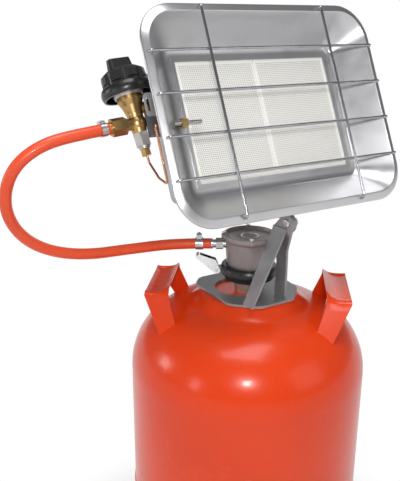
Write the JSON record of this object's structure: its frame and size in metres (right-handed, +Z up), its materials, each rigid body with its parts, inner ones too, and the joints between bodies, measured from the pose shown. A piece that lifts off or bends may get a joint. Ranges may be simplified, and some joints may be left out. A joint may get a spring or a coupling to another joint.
{
  "type": "gas patio heater",
  "caption": "Portable gas patio heater: a tilting ceramic heater head on a sheet bracket, with regulator, hose and control valve, carried by a steel gas cylinder.",
  "frame": {"origin": "the gas cylinder's axis at the floor", "axes": "+Z up along the cylinder's axis, the heater head faces -Y and its width runs along X"},
  "size_m": [0.4692, 0.3028, 0.8034],
  "materials": {
    "orange_paint": "glossy orange enamel",
    "valve_metal": "dull turned metal",
    "black_rubber": "matt",
    "grey_zinc": "grey zinc coat, satin",
    "zinc_hardware": "bright zinc plate",
    "taupe_enamel": "grey-beige die-cast enamel",
    "black_plastic": "moulded, satin",
    "lever_chrome": "bright pressed",
    "brass": "turned, satin",
    "copper": "drawn copper pipe",
    "reflector_steel": "brushed stainless sheet",
    "polished_wire": "polished drawn wire",
    "dull_steel": "turned steel",
    "box_steel": "aluminised sheet",
    "dark_steel": "dark sheet",
    "ceramic": "perforated off-white ceramic, matt",
    "fibre": "white fibre packing",
    "hose_rubber": "orange, smooth"
  },
  "bodies": {
    "cylinder": {"upper_shell": "orange_paint", "lower_shell": "orange_paint", "seam_weld": "orange_paint", "foot_ring": "orange_paint", "neck_boss": "orange_paint", "cylinder_valve": "valve_metal", "valve_gasket": "black_rubber", "handle_right": "orange_paint", "handle_left": "orange_paint"},
    "valve_pin": {"valve_pin": "valve_metal"},
    "bracket": {"mounting_plate": "grey_zinc", "bracket_upright": "grey_zinc", "bracket_brace": "grey_zinc", "pivot_bolt": "zinc_hardware", "pivot_washer": "zinc_hardware", "pivot_nut": "zinc_hardware", "regulator_socket": "taupe_enamel", "regulator_cup": "taupe_enamel", "regulator_cover": "taupe_enamel", "cover_screws": "zinc_hardware", "diaphragm": "black_rubber", "diaphragm_ring": "zinc_hardware", "regulator_spring": "zinc_hardware", "outlet_stub": "dull_steel", "lever_pin": "zinc_hardware", "hose_clamp_lower": "zinc_hardware", "gas_hose": "hose_rubber"},
    "locking_ring": {"locking_ring": "black_plastic"},
    "regulator_lever": {"regulator_lever": "lever_chrome"},
    "regulator_pin": {"regulator_pin": "zinc_hardware"},
    "head": {"reflector_pan": "reflector_steel", "guard_bars": "polished_wire", "guard_uprights": "polished_wire", "ceramic_tile_left": "ceramic", "ceramic_tile_right": "ceramic", "tile_gasket": "fibre", "tile_frame": "polished_wire", "burner_box": "box_steel", "tile_rest": "box_steel", "rear_shield": "box_steel", "shield_spacers": "zinc_hardware", "shield_screws": "zinc_hardware", "tilt_lug": "grey_zinc", "valve_body": "brass", "valve_bonnet": "dull_steel", "bonnet_screws": "zinc_hardware", "magnet_unit": "dull_steel", "magnet_nut": "brass", "inlet_nut": "brass", "valve_bracket": "dark_steel", "outlet_locknut": "brass", "gas_injector": "brass", "mixing_tube": "box_steel", "side_lug": "grey_zinc", "thermocouple_probe": "polished_wire", "probe_nut": "brass", "thermocouple_lead": "copper", "hose_clamp_upper": "zinc_hardware"},
    "valve_spindle": {"valve_spindle": "zinc_hardware"},
    "control_knob": {"control_knob": "black_plastic"}
  },
  "joints": [
    {"name": "bracket_swivel", "type": "hinge", "parent": "cylinder", "child": "bracket", "pos_m": [0, 0, 0.46436], "axis": [0, 0, 1], "continuous": true},
    {"name": "valve_pin_push", "type": "slide", "parent": "cylinder", "child": "valve_pin", "axis": [0, 0, 1], "range_m": [0, 0.003]},
    {"name": "head_tilt", "type": "hinge", "parent": "bracket", "child": "head", "pos_m": [0.017, -0.0535, 0.55926], "axis": [1, 0, 0], "range_deg": [-24, 24]},
    {"name": "lever_swing", "type": "hinge", "parent": "bracket", "child": "regulator_lever", "pos_m": [-0.03464, 0.02098, 0.48786], "axis": [0.518, 0.8554, 0], "range_deg": [-60, 0]},
    {"name": "regulator_pin_push", "type": "slide", "parent": "bracket", "child": "regulator_pin", "axis": [0, 0, 1], "range_m": [0, 0.003]},
    {"name": "locking_ring_lift", "type": "slide", "parent": "bracket", "child": "locking_ring", "axis": [0, 0, 1], "range_m": [0, 0.006], "stiffness_N_per_m": 300},
    {"name": "knob_push", "type": "slide", "parent": "head", "child": "valve_spindle", "axis": [0.0958, -0.4147, -0.9049], "range_m": [0, 0.004], "stiffness_N_per_m": 800, "springref_m": -0.002},
    {"name": "knob_turn", "type": "hinge", "parent": "valve_spindle", "child": "control_knob", "pos_m": [-0.1388, 0.02432, 0.67753], "axis": [-0.0958, 0.4147, 0.9049], "range_deg": [0, 200]}
  ],
  "couplings": [
    {"joint": "valve_pin_push", "follows": "lever_swing", "m_per_rad": -0.00286},
    {"joint": "regulator_pin_push", "follows": "lever_swing", "m_per_rad": -0.00286}
  ]
}
